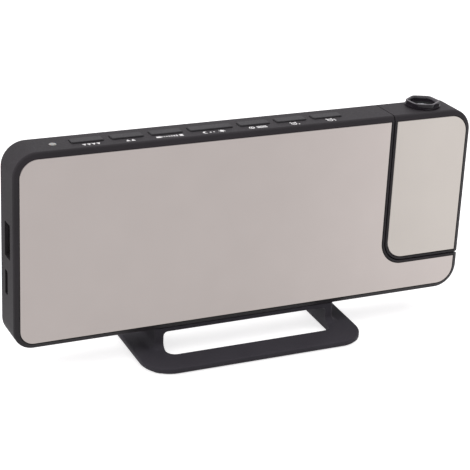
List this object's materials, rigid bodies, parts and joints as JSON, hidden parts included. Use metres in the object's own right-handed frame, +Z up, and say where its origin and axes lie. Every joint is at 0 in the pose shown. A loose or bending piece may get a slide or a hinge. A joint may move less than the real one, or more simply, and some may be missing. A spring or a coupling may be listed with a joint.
{
  "type": "projection alarm clock",
  "caption": "Digital alarm clock with a mirrored front, top keys, a swinging projector arm with a focus ring, and a ring-shaped desk stand.",
  "frame": {"origin": "on the table, under the middle of the stand and of the whole object's outline", "axes": "+X to the right along the clock's length, seen from the front, +Y from the mirror face towards the back, +Z up"},
  "size_m": [0.19, 0.0478, 0.0902],
  "materials": {
    "case_plastic": "satin moulded ABS, dark grey",
    "button_plastic": "satin moulded ABS, dark grey",
    "mirror_acrylic": "mirrored acrylic sheet, warm silver",
    "black_plastic": "matt black",
    "display_diffuser": "milky light bars",
    "circuit_board": "green solder resist",
    "plated_steel": "nickel plated",
    "black_steel": "black zinc plated",
    "lens_glass": "clear, polished",
    "clear_plastic": "clear moulded",
    "rubber": "matt black"
  },
  "bodies": {
    "clock_case": {"main_front_frame": "case_plastic", "main_rear_cover": "case_plastic", "main_mirror": "mirror_acrylic", "rear_cover_screws": "black_steel", "led_display_module": "black_plastic", "display_segments": "display_diffuser", "main_circuit_board": "circuit_board", "board_screws": "plated_steel", "clock_chip": "black_plastic", "timing_crystal": "plated_steel", "supply_capacitor": "black_plastic", "usb_charging_socket": "plated_steel", "usb_socket_tongue": "black_plastic", "power_inlet_socket": "plated_steel", "power_inlet_tongue": "black_plastic", "button_board": "circuit_board", "tact_switches": "black_plastic", "light_sensor_window": "clear_plastic", "light_sensor": "black_plastic", "battery_holder": "black_plastic", "coin_cell": "plated_steel", "coin_cell_clip": "plated_steel", "speaker_basket": "plated_steel", "speaker_cone": "black_plastic", "speaker_magnet": "plated_steel", "hinge_barrel": "plated_steel", "hinge_retaining_ring": "plated_steel", "stand_screws": "black_steel", "stand_foot": "case_plastic", "stand_pads": "rubber"},
    "arm": {"arm_front_frame": "case_plastic", "arm_rear_cover": "case_plastic", "arm_mirror": "mirror_acrylic", "arm_cover_screws": "black_steel", "hinge_friction_washer": "black_plastic", "projector_housing": "black_plastic", "condenser_lens": "lens_glass", "projector_image_panel": "lens_glass", "projector_lamp": "clear_plastic", "projector_board": "circuit_board"},
    "focus_ring": {"focus_ring": "case_plastic"},
    "lens": {"lens_barrel": "black_plastic", "projection_lens": "lens_glass"},
    "battery_door": {"battery_door": "case_plastic"},
    "button_down": {"button_down": "button_plastic"},
    "button_up": {"button_up": "button_plastic"},
    "button_project": {"button_project": "button_plastic"},
    "button_snooze": {"button_snooze": "button_plastic"},
    "button_mode": {"button_mode": "button_plastic"},
    "button_alarm_one": {"button_alarm_one": "button_plastic"},
    "button_alarm_two": {"button_alarm_two": "button_plastic"}
  },
  "joints": [
    {"name": "arm_swing", "type": "hinge", "parent": "clock_case", "child": "arm", "pos_m": [0.05975, 0.00344, 0.07694], "axis": [1, 0, 0], "range_deg": [-90, 90]},
    {"name": "lens_slide", "type": "slide", "parent": "arm", "child": "lens", "axis": [0, 0.0454, 0.999], "range_m": [-0.0005, 0.0005]},
    {"name": "focus_turn", "type": "hinge", "parent": "arm", "child": "focus_ring", "pos_m": [0.0774, 0.00522, 0.08767], "axis": [0, 0.0454, 0.999], "range_deg": [-60, 60]},
    {"name": "press_down", "type": "slide", "parent": "clock_case", "child": "button_down", "axis": [0, -0.0454, -0.999], "range_m": [0, 0.00035], "stiffness_N_per_m": 600},
    {"name": "press_up", "type": "slide", "parent": "clock_case", "child": "button_up", "axis": [0, -0.0454, -0.999], "range_m": [0, 0.00035], "stiffness_N_per_m": 600},
    {"name": "press_project", "type": "slide", "parent": "clock_case", "child": "button_project", "axis": [0, -0.0454, -0.999], "range_m": [0, 0.00035], "stiffness_N_per_m": 600},
    {"name": "press_snooze", "type": "slide", "parent": "clock_case", "child": "button_snooze", "axis": [0, -0.0454, -0.999], "range_m": [0, 0.00035], "stiffness_N_per_m": 600},
    {"name": "press_mode", "type": "slide", "parent": "clock_case", "child": "button_mode", "axis": [0, -0.0454, -0.999], "range_m": [0, 0.00035], "stiffness_N_per_m": 600},
    {"name": "press_alarm_one", "type": "slide", "parent": "clock_case", "child": "button_alarm_one", "axis": [0, -0.0454, -0.999], "range_m": [0, 0.00035], "stiffness_N_per_m": 600},
    {"name": "press_alarm_two", "type": "slide", "parent": "clock_case", "child": "button_alarm_two", "axis": [0, -0.0454, -0.999], "range_m": [0, 0.00035], "stiffness_N_per_m": 600},
    {"name": "door_pull", "type": "slide", "parent": "clock_case", "child": "battery_door", "axis": [0, 0.999, -0.0454], "range_m": [0, 0.02]}
  ],
  "couplings": [
    {"joint": "focus_turn", "follows": "lens_slide", "rad_per_m": 2094}
  ]
}
